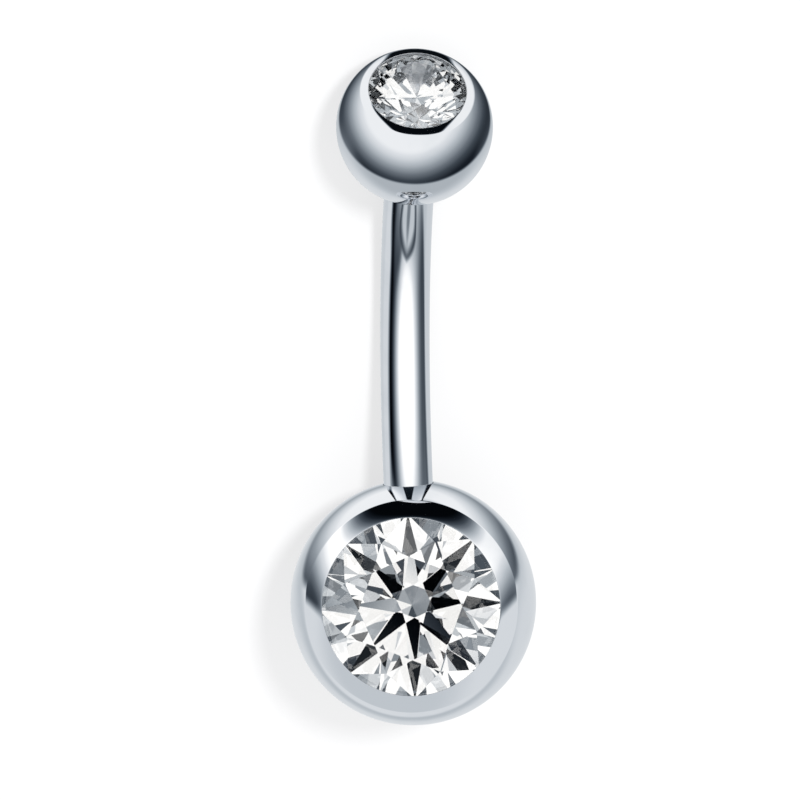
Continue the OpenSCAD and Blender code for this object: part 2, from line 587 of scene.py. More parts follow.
@dataclass(frozen=True)
class ClearStone:
    """Clear cubic zirconia, polished on its facets and ground matt on its girdle.

    The girdle is found by its top over the ball's centre, its height and its radius. The matt finish comes in
    between two shares of the radius, and goes within the fade over and under the girdle.
    """

    name: str
    setting: Placement
    girdle_top: float
    girdle_height: float
    girdle_r: float
    index: float = 2.17
    matt: float = 0.4
    matt_from: Pair = (0.985, 0.992)
    matt_fade: float = 0.01
    tint: Triple = (0.985, 0.992, 1.0)
    cloud_grain: Grain = Grain(900.0)

    def material(self) -> bpy.types.Material:
        """Makes the material.

        The girdle is where the distance from the setting's axis is nearly the stone's own radius and the
        height along it is between the girdle's edges.

        Returns:
            A clear material whose girdle is matt and whose tint clouds very slightly.
        """
        made, sheet = blank_material(self.name)
        out, z = sheet.round_axis(self.setting)
        edge = out.step(self.girdle_r * self.matt_from[0], self.girdle_r * self.matt_from[1])
        low = self.girdle_top - self.girdle_height
        over = z.step(low - self.matt_fade, low)
        under = z.step(self.girdle_top + self.matt_fade, self.girdle_top)
        rim = edge * over * under
        clouds = sheet.noise(sheet.position(), self.cloud_grain)
        stone = sheet.node("ShaderNodeBsdfPrincipled", None, {
            "Base Color": sheet.blend(clouds, self.tint, (1.0, 1.0, 1.0)),
            "Roughness": rim * self.matt,
            "IOR": self.index,
            "Transmission Weight": 1.0,
        })
        sheet.output(stone.outputs[0])
        return made


@dataclass(frozen=True)
class PaleTable:
    """A pale table top with a soft matt paint."""

    name: str
    light: Triple = (0.86, 0.86, 0.865)
    shade: Triple = (0.845, 0.848, 0.855)
    roughness: float = 0.9
    shine: float = 0.1
    cloud_grain: Grain = Grain(30.0, 3.0)

    def material(self) -> bpy.types.Material:
        """Makes the material.

        Returns:
            A matt material with faint clouds in its tint.
        """
        made, sheet = blank_material(self.name)
        clouds = sheet.noise(sheet.position(), self.cloud_grain)
        paint = sheet.node("ShaderNodeBsdfPrincipled", None, {
            "Base Color": sheet.blend(clouds, self.light, self.shade),
            "Roughness": self.roughness,
            "Specular IOR Level": self.shine,
        })
        sheet.output(paint.outputs[0])
        return made


# The ring


@dataclass(frozen=True)
class RingLayout:
    """The sizes that the pieces share, and where each lies.

    The large ball is turned on the bar out of the bend's plane, its stone leans from square with the bar, and
    the bow leans out of upright, all in degrees. The last two are the frame's bodies.
    """

    bar_r: float = 0.8
    bar_length: float = 11.4
    bend_r: float = 15.0
    large_r: float = 4.0
    small_r: float = 2.5
    large_turn: float = 8.5
    large_lean: float = 4.5
    bow_lean: float = 5.5
    table_body: str = "barbell"
    screw_body: str = "top"

    @property
    def large_meet(self) -> float:
        """How far from the large ball's centre the bar leaves it."""
        return math.sqrt(self.large_r**2 - self.bar_r**2)

    @property
    def small_meet(self) -> float:
        """How far from the small ball's centre the bar leaves it."""
        return math.sqrt(self.small_r**2 - self.bar_r**2)

    @property
    def bend(self) -> float:
        """The bend's angle in degrees: the angle whose chord is the bar's length."""
        return math.degrees(2 * math.asin(self.bar_length / 2 / self.bend_r))

    @property
    def small_centre(self) -> Array:
        """The small ball's centre in the bar's axes, which start at the large ball's centre."""
        b = math.radians(self.bend)
        return np.array([
            0.0,
            self.large_meet + self.bend_r * math.sin(b) + self.small_meet * math.cos(b),
            self.bend_r * (1 - math.cos(b)) + self.small_meet * math.sin(b),
        ])

    @property
    def bar(self) -> Placement:
        """The bar's axes in the row frame: laid on both balls, with the bow leaning over between them.

        Returns:
            The placement of the bar, whose axes start at the large ball's centre.
        """
        far = self.small_centre
        span = float(np.linalg.norm(far))
        rise = math.degrees(math.atan2(far[2], far[1]))
        slope = math.asin((self.large_r - self.small_r) / span)
        turn = (turn_about(Axis.Z, 180) @ turn_about(Axis.X, -math.degrees(slope))
                @ turn_about(Axis.Y, self.bow_lean) @ turn_about(Axis.X, -rise))
        along = (span * math.cos(slope) + self.small_r - self.large_r) / 2
        return Placement(turn, np.array([0.0, along, self.large_r]))

    @property
    def large_setting(self) -> Placement:
        """The large ball's axes, with Z out through its stone."""
        lean = turn_about(Axis.Y, -self.large_turn) @ turn_about(Axis.X, -self.large_lean)
        return self.bar.holding(Placement(lean))

    @property
    def small_setting(self) -> Placement:
        """The small ball's axes, with Z out through its stone, which is the way that the bar points."""
        out = turn_about(Axis.X, self.bend) @ turn_about(Axis.X, -90)
        return self.bar.holding(Placement(out, self.small_centre))


@dataclass(frozen=True)
class Setting:
    """The turned seat and the burnished band that hold a round stone in a ball.

    Heights are over the ball's centre. The lip reaches over the stone's edge. The band goes from the lip out
    to the ball and falls by its rise. The setback is how far from its corner an edge starts to round, and the
    steps are those of the profile.
    """

    ball_r: float
    stone_r: float
    lip_over: float
    band: float
    band_rise: float
    girdle_top: float
    seat_floor: float
    lip_edge: float = 0.03
    gap: float = 0.04
    crown_slope: float = 0.868449
    seat_slope: float = 0.861707
    lip_round: float = 0.012
    edge_setback: float = 0.03
    band_bulge: float = 0.022
    corner_steps: int = 8
    band_steps: int = 12
    wall_steps: int = 3
    cone_steps: int = 12

    @property
    def lip_r(self) -> float:
        """The band's inner radius."""
        return self.stone_r - self.lip_over

    @property
    def rim_r(self) -> float:
        """The band's outer radius."""
        return self.lip_r + self.band

    @property
    def rim_z(self) -> float:
        """The height of the band's outer edge, which is on the ball."""
        return math.sqrt(self.ball_r**2 - self.rim_r**2)

    @property
    def wall_r(self) -> float:
        """The radius of the wall round the stone's girdle."""
        return self.stone_r + self.gap

    @property
    def rim_angle(self) -> float:
        """The angle from the setting's axis, in radians, at which the ball's round surface ends."""
        return math.atan2(self.rim_r, self.rim_z) + self.edge_setback / self.ball_r

    def band_at(self, t: Array) -> Array:
        """Gives the band's profile: a line from rim to lip that swells by 4 t (1 - t) times its bulge.

        Args:
            t: How far across the band, from 0 at the rim to 1 at the lip.

        Returns:
            Rows of (radius, height).
        """
        t = np.asarray(t, float)[:, None]
        start = np.array([self.rim_r, self.rim_z])
        end = np.array([self.lip_r, self.rim_z + self.band_rise])
        across = unit(end - start)
        outwards = np.array([across[1], -across[0]])
        return start * (1 - t) + end * t + outwards * 4 * t * (1 - t) * self.band_bulge

    def profile(self) -> Array:
        """Gives the setting from the ball's round surface to the bottom of its seat.

        In order: the rounded rim, the swelling band, the rounded lip, the lip's underside, the wall round the
        stone's girdle, and the seat's cone. Its last point is the pole.

        Returns:
            Rows of (radius, height).
        """
        setback = self.edge_setback / self.band
        near, far = self.band_at([setback]), self.band_at([1 - setback])
        rim = [self.rim_r, self.rim_z]
        lip_top = self.rim_z + self.band_rise
        under = lip_top - self.lip_edge
        lip_end = [self.lip_r + self.lip_round, under - self.lip_round * self.crown_slope]
        shelf = [self.wall_r, under - (self.wall_r - self.lip_r) * self.crown_slope]
        cone_top = [self.wall_r, self.seat_floor + self.wall_r * self.seat_slope]
        return np.concatenate([
            rounded(on_circle(self.ball_r, self.rim_angle), rim, near[0], self.corner_steps),
            self.band_at(np.linspace(setback, 1 - setback, self.band_steps + 1)[1:]),
            rounded(far[0], [self.lip_r, lip_top], lip_end, self.corner_steps),
            straight(lip_end, shelf, self.wall_steps),
            straight(shelf, cone_top, self.wall_steps),
            straight(cone_top, [0.0, self.seat_floor], self.cone_steps),
        ])

    def seat(self, place: Placement, lip_start: float) -> TurnedSeat:
        """Says where the seat is, for its roughness and its painted tone.

        Args:
            place: The ball's axes, with Z out through the stone.
            lip_start: The height where the lip starts.

        Returns:
            The seat.
        """
        return TurnedSeat(place, self.wall_r, self.seat_floor, self.seat_slope, lip_start)


@dataclass
class SmallBall:
    """The small ball that screws on the bar's end: round, with a bore for the bar and a setting opposite.

    The recess takes the bar's shoulder and the bore its thread. Heights are over the ball's centre.
    """

    layout: RingLayout
    setting: Setting
    steel: PolishedSteel
    recess_r: float = 0.83
    recess_z: float = -2.18854
    bore_r: float = 0.63
    bore_end: float = -0.168386
    edge: float = 0.03
    columns: int = 224
    flat_steps: int = 4
    bore_steps: int = 12
    corner_steps: int = 8
    ball_steps: int = 149

    def profile(self) -> Array:
        """Gives the whole ball's profile, from the middle of the bore's end out, round and into the seat.

        Returns:
            Rows of (radius, height), the first and last on the axis.
        """
        ball_r = self.setting.ball_r
        mouth = math.pi - math.asin(self.recess_r / ball_r)
        angles = np.linspace(mouth - self.edge / ball_r, self.setting.rim_angle, self.ball_steps + 1)
        ball = on_circle(ball_r, angles)
        mouth_z = -math.sqrt(ball_r**2 - self.recess_r**2)
        inside = [self.recess_r, mouth_z + self.edge]
        return np.concatenate([
            [[0.0, self.bore_end]],
            straight([0.0, self.bore_end], [self.bore_r, self.bore_end], self.flat_steps),
            straight([self.bore_r, self.bore_end], [self.bore_r, self.recess_z], self.bore_steps),
            straight([self.bore_r, self.recess_z], [self.recess_r, self.recess_z], self.flat_steps),
            straight([self.recess_r, self.recess_z], inside, self.flat_steps),
            rounded(inside, [self.recess_r, mouth_z], ball[0], self.corner_steps),
            ball[1:],
            self.setting.profile(),
        ])

    def surface(self) -> ClosedSurface:
        """Turns the profile round: the point at (r, z) and angle a is (r cos a, r sin a, z).

        Returns:
            The ball's surface in the row frame.
        """
        profile = self.profile()
        angle = np.linspace(0, 2 * np.pi, self.columns, endpoint=False)
        body = profile[1:-1]
        rings = np.stack([
            body[:, :1] * np.cos(angle),
            body[:, :1] * np.sin(angle),
            np.broadcast_to(body[:, 1:], (len(body), self.columns)),
        ], -1)
        poles = np.array([[0.0, 0.0, profile[0, 1]], [0.0, 0.0, profile[-1, 1]]])
        place = self.layout.small_setting
        return ClosedSurface(place.points(rings), *place.points(poles))

    def build(self) -> bpy.types.Object:
        """Makes the ball, in place of its solid, and lets it go with the screwed end.

        Returns:
            The ball.
        """
        ball = show(self.surface().mesh("small_set_ball"), self.steel.material())
        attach(ball, self.layout.screw_body)
        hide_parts("top_ball")
        return ball


@dataclass
class LargeBall:
    """The large ball, fixed to the bar: round, with the bar's bore nearly square to its setting.

    The bore ends at its depth from the ball's centre. The even shares say how far the grid's rays and rings
    are evened out, from 0 for not at all to 1 for fully.
    """

    layout: RingLayout
    setting: Setting
    steel: PolishedSteel
    bore_r: float = 0.82
    bore_depth: float = 2.57977
    edge: float = 0.03
    rows: int = 132
    columns: int = 300
    end_steps: int = 4
    bore_steps: int = 6
    corner_steps: int = 8
    even_columns: float = 0.72
    even_rows: float = 0.8
    fine_rays: int = 4001
    fine_rings: int = 2001
    beside_ray: float = 0.02

    def between_circles(self, bore_axis: Array, rim: float, mouth: float) -> Array:
        """Covers the ball between two circles with axes of their own, the setting's rim and the bore's mouth.

        Seen from the setting's axis in stereographic projection, zeta = tan(angle / 2) e^(i azimuth), the rim
        is a circle round 0 and the mouth a circle beside it. The map w = (zeta - p) / (zeta - q), with p and
        q the points that both circles mirror into each other, turns the two into circles round 0. So the grid
        is rings and rays of w, carried back with zeta = (q w - p) / (w - 1). Both spacings are evened out by
        the length that a step of w has on the ball.

        Args:
            bore_axis: The bore's direction in the setting's axes.
            rim: The rim's angle from the setting's axis, in radians.
            mouth: The mouth's angle from the bore's axis, in radians.

        Returns:
            Unit vectors in the setting's axes, a row for each ring from the mouth to the rim.
        """
        apart = math.acos(bore_axis[2])
        rim_size = math.tan(rim / 2)
        near, far = math.tan((apart - mouth) / 2), math.tan((apart + mouth) / 2)
        middle, size = (near + far) / 2, (far - near) / 2
        both = (rim_size**2 + middle**2 - size**2) / middle
        root = math.sqrt(both**2 - 4 * rim_size**2)
        p, q = (both - root) / 2, (both + root) / 2
        ends = [math.log(abs((near - p) / (near - q))), math.log(abs((rim_size - p) / (rim_size - q)))]

        def length(w: Array) -> Array:
            """Gives the length on the ball of a small step of log w."""
            return np.abs(w) / (np.abs(w - 1) ** 2 + np.abs(q * w - p) ** 2)

        def evened(fine: Array, weight: Array, count: int, closed: bool) -> Array:
            """Places values so that equal steps hold equal weight.

            Args:
                fine: Fine steps over their range.
                weight: The weight at each fine step.
                count: How many values to place.
                closed: Whether the range comes round to its start.

            Returns:
                The values.
            """
            total = np.concatenate([[0.0], np.cumsum((weight[1:] + weight[:-1]) / 2 * np.abs(np.diff(fine)))])
            at = (np.arange(count) + 0.5) / count if closed else np.linspace(0, 1, count)
            return np.interp(at * total[-1], total, fine)

        angles = np.linspace(0, 2 * np.pi, self.fine_rays)
        ray = evened(angles, length(np.exp(1j * angles)) ** self.even_columns, self.columns, True)
        logs = np.linspace(*ends, self.fine_rings)
        ring = evened(logs, length(np.exp(logs + 1j * self.beside_ray)) ** self.even_rows, self.rows, False)
        w = np.exp(ring[:, None] + 1j * ray)
        zeta = (q * w - p) / (w - 1)
        towards = math.atan2(bore_axis[1], bore_axis[0])
        zeta = zeta * np.exp(1j * towards)
        square = np.abs(zeta) ** 2
        return np.stack([2 * zeta.real, 2 * zeta.imag, 1 - square], -1) / (1 + square)[..., None]

    def bore(self) -> Array:
        """Gives the bore's profile from the middle of its end to its rounded mouth on the ball.

        Returns:
            Rows of (radius, distance along the bore's axis).
        """
        mouth_at = math.sqrt(self.setting.ball_r**2 - self.bore_r**2)
        outside = on_circle(self.setting.ball_r, self.mouth_angle)
        inside = [self.bore_r, mouth_at - self.edge]
        return np.concatenate([
            [[0.0, self.bore_depth]],
            straight([0.0, self.bore_depth], [self.bore_r, self.bore_depth], self.end_steps),
            straight([self.bore_r, self.bore_depth], inside, self.bore_steps),
            rounded(inside, [self.bore_r, mouth_at], outside, self.corner_steps),
        ])

    @property
    def mouth_angle(self) -> float:
        """The angle from the bore's axis, in radians, at which the ball's round surface starts."""
        return math.asin(self.bore_r / self.setting.ball_r) + self.edge / self.setting.ball_r

    def surface(self) -> ClosedSurface:
        """Joins the bore, the ball's round surface and the setting, all on the same columns.

        A ring round an axis is radius times the column's own direction from that axis, plus height along it.

        Returns:
            The ball's surface in the row frame.
        """
        place = self.layout.large_setting
        bore_axis = unit(self.layout.bar.directions(np.array([0.0, 1.0, 0.0])) @ place.turn)
        axis = np.array([0.0, 0.0, 1.0])
        ball = self.between_circles(bore_axis, self.setting.rim_angle, self.mouth_angle)
        from_bore = unit(ball[0] - (ball[0] @ bore_axis)[:, None] * bore_axis)
        from_axis = unit(ball[-1] - (ball[-1] @ axis)[:, None] * axis)
        bore, seat = self.bore(), self.setting.profile()
        rings = np.concatenate([
            bore[1:, :1, None] * from_bore + bore[1:, 1:, None] * bore_axis,
            ball[1:] * self.setting.ball_r,
            seat[:-1, :1, None] * from_axis + seat[:-1, 1:, None] * axis,
        ])
        poles = np.stack([bore_axis * bore[0, 1], axis * seat[-1, 1]])
        return ClosedSurface(place.points(rings), *place.points(poles))

    def build(self) -> bpy.types.Object:
        """Makes the ball, in place of its solid.

        Returns:
            The ball.
        """
        ball = show(self.surface().mesh("large_set_ball"), self.steel.material())
        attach(ball, self.layout.table_body)
        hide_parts("lower_ball")
        return ball


@dataclass
class BentBar:
    """The bar: a plain peg in the large ball, the bend, a shoulder, and the thread for the small ball.

    The peg starts at its distance from the large ball's centre. The shoulder and the tip are out past the
    bend's end. The thread's ridge starts and ends its margins away from them, and its crest is partly
    rounded.
    """

    layout: RingLayout
    steel: PolishedSteel
    peg_start: float = 2.59977
    shoulder_out: float = 0.15
    tip_out: float = 2.170154
    crest_r: float = 0.6
    root_r: float = 0.47
    pitch: float = 0.25
    start_margin: float = 0.05
    end_margin: float = 0.06
    crest_rounding: float = 0.4
    edge: float = 0.05
    fillet: float = 0.02
    columns: int = 128
    end_steps: int = 3
    corner_steps: int = 6
    peg_steps: int = 6
    bend_steps: int = 230
    shoulder_steps: int = 4
    thread_steps: int = 150

    @property
    def bend_end(self) -> float:
        """How far along the middle line the bend ends."""
        return self.layout.large_meet + self.layout.bend_r * math.radians(self.layout.bend)

    def rows(self) -> Array:
        """Gives the bar's plain profile along its middle line, with the thread at its root.

        Returns:
            Rows of (radius, distance along the middle line), the first and last on that line.
        """
        layout, r, root = self.layout, self.layout.bar_r, self.root_r
        shoulder, tip = self.bend_end + self.shoulder_out, self.bend_end + self.tip_out
        start, edge, fillet = self.peg_start, self.edge, self.fillet
        small_edge = edge / 2
        foot = [root, shoulder + fillet]
        return np.concatenate([
            [[0.0, start]],
            straight([0.0, start], [r - edge, start], self.end_steps),
            rounded([r - edge, start], [r, start], [r, start + edge], self.corner_steps),
            straight([r, start + edge], [r, layout.large_meet], self.peg_steps),
            straight([r, layout.large_meet], [r, self.bend_end], self.bend_steps),
            straight([r, self.bend_end], [r, shoulder - small_edge], self.end_steps),
            rounded([r, shoulder - small_edge], [r, shoulder], [r - small_edge, shoulder], self.corner_steps),
            straight([r - small_edge, shoulder], [root + fillet, shoulder], self.shoulder_steps),
            rounded([root + fillet, shoulder], [root, shoulder], foot, self.shoulder_steps),
            straight(foot, [root, tip - edge], self.thread_steps),
            rounded([root, tip - edge], [root, tip], [root - edge, tip], self.corner_steps),
            straight([root - edge, tip], [0.0, tip], self.end_steps),
        ])

    def thread(self, distance: Array, angle: Array) -> Array:
        """Gives how far the thread stands over its root.

        The ridge winds once round in a pitch: with f the fractional part of distance / pitch - angle / turn,
        it is the depth times (1 - |2 f - 1|), partly rounded by a smooth step, faded in and out over half a
        pitch.

        Args:
            distance: Distances along the middle line from the shoulder, a column.
            angle: Angles round the bar, a row, in radians.

        Returns:
            The height at each distance and angle.
        """
        length = self.tip_out - self.shoulder_out
        phase = np.mod(distance / self.pitch - angle / (2 * np.pi), 1.0)
        sharp = 1 - np.abs(2 * phase - 1)
        smooth = sharp**2 * (3 - 2 * sharp)
        ridge = sharp * (1 - self.crest_rounding) + smooth * self.crest_rounding
        fade_in = np.clip((distance - self.start_margin) / self.pitch * 2, 0, 1)
        fade_out = np.clip((length - self.end_margin - distance) / self.pitch * 2, 0, 1)
        return (self.crest_r - self.root_r) * ridge * fade_in * fade_out

    def middle_line(self, distance: Array) -> tuple[Array, Array]:
        """Follows the bar's middle line: straight, then round the bend, then straight again.

        With a the angle turned so far, a point is (0, start + R sin a, R (1 - cos a)) plus what is left after
        the bend times the bend's last direction (0, cos a, sin a).

        Args:
            distance: Distances along the line from the large ball's centre.

        Returns:
            The points, and the directions to the bend's inside.
        """
        layout = self.layout
        total = math.radians(layout.bend)
        a = np.clip((distance - layout.large_meet) / layout.bend_r, 0, total)
        rest = np.maximum(distance - layout.large_meet - layout.bend_r * total, 0)
        zero = np.zeros_like(a)
        ahead = np.stack([zero, np.cos(a), np.sin(a)], -1)
        inward = np.stack([zero, -np.sin(a), np.cos(a)], -1)
        start = np.minimum(distance, layout.large_meet)
        points = np.stack([zero, start + layout.bend_r * np.sin(a), layout.bend_r * (1 - np.cos(a))], -1)
        return points + rest[:, None] * ahead, inward

    def surface(self) -> ClosedSurface:
        """Sweeps a circle of the profile's radius along the middle line, with the thread added to the radius.

        Returns:
            The bar's surface in the row frame.
        """
        profile = self.rows()
        points, inward = self.middle_line(profile[:, 1])
        angle = np.linspace(0, 2 * np.pi, self.columns, endpoint=False)
        distance = profile[1:-1, 1:] - self.bend_end - self.shoulder_out
        threaded = (distance > self.fillet) & (profile[1:-1, :1] >= self.root_r - TINY)
        radius = profile[1:-1, :1] + np.where(threaded, self.thread(distance, angle), 0.0)
        side = np.array([1.0, 0.0, 0.0])
        rings = (points[1:-1, None]
                 + (radius * np.cos(angle))[..., None] * inward[1:-1, None]
                 + (radius * np.sin(angle))[..., None] * side)
        place = self.layout.bar
        return ClosedSurface(place.points(rings), *place.points(points[[0, -1]]))

    def build(self) -> bpy.types.Object:
        """Makes the bar, in place of its solid.

        Returns:
            The bar.
        """
        bar = show(self.surface().mesh("bent_bar"), self.steel.material())
        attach(bar, self.layout.table_body)
        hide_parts("curved_bar")
        return bar


@dataclass
class SetStone:
    """A round brilliant, which is the frame's own solid, given its clear finish."""

    node: bpy.types.Object
    finish: ClearStone

    def build(self) -> bpy.types.Object:
        """Gives the stone its finish.

        Returns:
            The stone.
        """
        self.node.material_slots[0].material = self.finish.material()
        return self.node


# The studio


@dataclass(frozen=True)
class View:
    """The camera's place and the directions of its picture, in the row frame.

    The lens and the sensor are in millimetres too. The clip is how near and how far it sees, in metres.
    """

    eye: Triple = (10.599, -199.158, 318.287)
    right: Triple = (-0.9996, -0.0043, 0.0295)
    up: Triple = (-0.0121, -0.8448, -0.535)
    lens: float = 520.124
    sensor_width: float = 36.0
    clip: Pair = (0.01, 10.0)

    @property
    def axes(self) -> Array:
        """The picture's right, its up and the way back to the camera.

        Returns:
            The three directions, as columns square to each other.
        """
        right = unit(np.array(self.right))
        back = unit(np.cross(right, np.array(self.up)))
        return np.stack([right, np.cross(back, right), back], 1)

    def towards(self, direction: Triple) -> Array:
        """Carries a direction from the picture's axes to the row frame."""
        return unit(self.axes @ np.asarray(direction, float))

    def build(self) -> bpy.types.Object:
        """Makes the camera and gives it the scene.

        Returns:
            The camera.
        """
        data = bpy.data.cameras.new("camera")
        data.lens = self.lens
        data.sensor_width = self.sensor_width
        data.clip_start, data.clip_end = self.clip
        camera = bpy.data.objects.new("camera", data)
        bpy.context.scene.collection.objects.link(camera)
        matrix = np.eye(4)
        matrix[:3, :3] = self.axes
        matrix[:3, 3] = np.array(self.eye) * MM
        camera.matrix_world = Matrix(matrix.tolist())
        bpy.context.scene.camera = camera
        return camera


@dataclass(frozen=True)
class Card:
    """A soft-edged card of one brightness on a surround, laid over what is there already.

    It is centred in a direction of the picture's axes. Its half width is across the picture and its half
    height up it, in degrees. It is full up to its edge less the softness and gone at its edge plus it. With a
    squareness of 2 it is an oval, nearly a rectangle with 6, and pointed like a leaf with less than 2. A card
    that is nearly straight up or down, by the cosine given, takes its upright from the way ahead.
    """

    towards: Triple
    width: float
    height: float
    softness: float
    level: float
    squareness: float = 2.0
    nearly_up: ClassVar[float] = 0.97

    def mask(self, sheet: NodeSheet, direction: bpy.types.NodeSocket, view: View) -> Signal:
        """Works out where the card is.

        With x and y the direction's parts across and up the card, a its angle from the centre and p the
        squareness, the edge is where a (|x / width|^p + |y / height|^p)^(1 / p) = sqrt(x^2 + y^2).

        Args:
            sheet: The node tree.
            direction: The direction looked in, of length 1.
            view: The picture's axes.

        Returns:
            1 inside the card and 0 outside.
        """
        centre = view.towards(self.towards)
        up = view.towards((0.0, 1.0, 0.0))
        helper = up if abs(float(centre @ up)) < self.nearly_up else view.towards((0.0, 0.0, -1.0))
        across = unit(np.cross(helper, centre))
        over = np.cross(centre, across)
        x, y = sheet.along(direction, across), sheet.along(direction, over)
        angle = sheet.along(direction, centre).math("ARCCOSINE") * math.degrees(1)
        flat = (x * x + y * y + TINY) ** 0.5
        wide = (x.math("ABSOLUTE") / self.width) ** self.squareness
        high = (y.math("ABSOLUTE") / self.height) ** self.squareness
        oval = (wide + high) ** (1 / self.squareness)
        edge = self.softness / min(self.width, self.height)
        return (angle * oval / flat).step(1 + edge, max(0.0, 1 - edge))


# The tone of each level of brightness, blue-grey where it is dark and white where it is light, worked out by a
# program from eight colours chosen after the steel's mean colours in the photo
STUDIO_TONES: tuple[tuple[float, Triple], ...] = (
    (0.00, (0.0004, 0.0007, 0.0011)),
    (0.12, (0.0122, 0.0167, 0.0239)),
    (0.28, (0.0621, 0.0768, 0.0944)),
    (0.44, (0.1730, 0.1976, 0.2249)),
    (0.60, (0.3539, 0.3885, 0.4193)),
    (0.75, (0.5992, 0.6354, 0.6644)),
    (0.88, (0.8946, 0.9090, 0.9218)),
    (1.00, (1.4847, 1.4485, 1.3974)),
)


# What each piece reflects. A card is given by its direction in the picture (right, up, back to the camera),
# its half width and half height in degrees, its softness, its level, and its squareness if it isn't an oval.
# The steel's cards began as a program's fit to how bright the steel is in the photo, and some were then
# changed. The stones' cards were drawn at random by a program. Of the many sets that it drew, these are
# among the most like the photo.

SMALL_BALL_CARDS: tuple[Card, ...] = (
    # A wide soft white card above, towards the camera
    Card((-0.08, 0.59, 0.80), 97.0, 107.0, 34.0, 0.91),
    # Pale light from low behind, and its lighter middle
    Card((-0.01, -0.61, -0.80), 52.0, 50.0, 3.3, 0.69),
    Card((-0.07, -0.40, -0.91), 45.0, 25.0, 16.0, 0.83),
    # Two black flags above, which the band reflects
    Card((0.07, 0.75, 0.65), 21.0, 21.0, 2.0, 0.02, 6.0),
    Card((0.07, 0.97, -0.22), 13.0, 28.0, 2.0, 0.03, 6.0),
)

LARGE_BALL_CARDS: tuple[Card, ...] = (
    # A wide white card above, a whiter one nearer the camera, and a soft one on the right
    Card((-0.16, 0.99, 0.05), 63.0, 73.0, 20.0, 0.91),
    Card((-0.02, 0.69, 0.72), 54.0, 56.0, 13.0, 1.0),
    Card((0.36, 0.80, 0.48), 62.0, 44.0, 22.0, 0.92),
    # A black flag among them
    Card((-0.02, 0.89, 0.46), 33.0, 44.0, 10.4, 0.01),
    # A wide pale card below, and a darker one on its near left
    Card((0.03, -0.98, -0.18), 94.0, 86.0, 3.0, 0.84),
    Card((-0.23, -0.76, 0.61), 30.0, 42.0, 12.0, 0.77),
    # Pale light from behind, and its lighter middle
    Card((0.14, -0.21, -0.97), 62.0, 33.0, 3.5, 0.72),
    Card((0.21, -0.19, -0.96), 56.0, 25.0, 8.0, 0.82),
)

BAR_CARDS: tuple[Card, ...] = (
    # A wide white card above, and the black round the camera
    Card((0.0, 0.72, 0.69), 100.0, 50.0, 6.0, 0.97),
    Card((0.0, 0.14, 0.99), 27.0, 38.0, 1.5, 0.0),
    # A faint light on the right, and a white card below, nearer the camera
    Card((0.76, -0.40, 0.51), 75.0, 35.0, 58.0, 0.33),
    Card((0.11, -0.69, 0.72), 52.0, 48.0, 20.7, 0.96),
    # A grey card and a pale one on the left, and a black flag on the lower left
    Card((-0.95, -0.04, -0.31), 24.0, 36.0, 4.5, 0.56),
    Card((-0.55, -0.09, -0.83), 53.0, 44.0, 4.5, 0.83),
    Card((-0.51, -0.78, -0.36), 18.0, 18.0, 4.5, 0.0),
    # The greys beside the leaf
    Card((-0.46, -0.87, -0.10), 15.5, 15.5, 6.0, 0.26),
    Card((0.05, -0.95, -0.31), 33.0, 24.0, 14.0, 0.75),
    # Pale light from behind, on the right
    Card((0.30, -0.30, -0.905), 41.3, 41.3, 4.5, 0.75),
    Card((0.15, -0.10, -0.98), 61.0, 30.0, 4.5, 0.79),
    # The leaf that the bar reflects at its top: its dark outline, its pale middle and the line down it
    Card((0.0, -1.0, -0.06), 28.0, 16.0, 1.5, 0.27, 1.6),
    Card((0.0, -1.0, -0.06), 21.0, 13.5, 3.0, 0.77, 1.6),
    Card((-0.01, -1.0, -0.06), 5.0, 9.5, 3.0, 0.48),
)

LARGE_STONE_CARDS: tuple[Card, ...] = (
    # Three rings round the camera that get lighter inwards
    Card((0.00, 0.00, 1.00), 80.0, 80.0, 4.0, 0.3),
    Card((0.00, 0.00, 1.00), 52.0, 52.0, 3.0, 0.78),
    Card((0.00, 0.00, 1.00), 36.0, 36.0, 3.0, 0.95),
    # Small cards and flags in the rings, which single facets catch
    Card((0.24, -0.66, 0.71), 7.0, 11.3, 3.0, 0.0),
    Card((-0.49, 0.29, 0.82), 12.0, 12.0, 3.0, 0.55),
    Card((-0.35, -0.59, 0.73), 6.1, 6.1, 3.0, 0.3),
    Card((-0.55, -0.25, 0.80), 5.5, 8.7, 1.0, 0.0),
    Card((-0.16, -0.55, 0.82), 8.5, 13.6, 1.0, 0.55),
    Card((-0.04, 0.50, 0.87), 8.3, 13.3, 1.0, 0.3),
    Card((-0.63, -0.28, 0.72), 7.1, 7.1, 3.0, 0.7),
    Card((-0.45, -0.11, 0.89), 6.3, 10.0, 3.0, 0.7),
    Card((0.60, 0.00, 0.80), 11.3, 18.1, 3.0, 0.95),
    Card((0.46, 0.14, 0.88), 7.4, 7.4, 1.0, 0.55),
    Card((-0.35, -0.65, 0.67), 8.0, 8.0, 1.0, 0.3),
    # The camera's own black, and a smaller flag beside it
    Card((0.06, -0.03, 1.00), 10.4, 10.0, 1.0, 0.0),
    Card((-0.21, -0.04, 0.98), 4.5, 4.7, 1.0, 0.0),
)

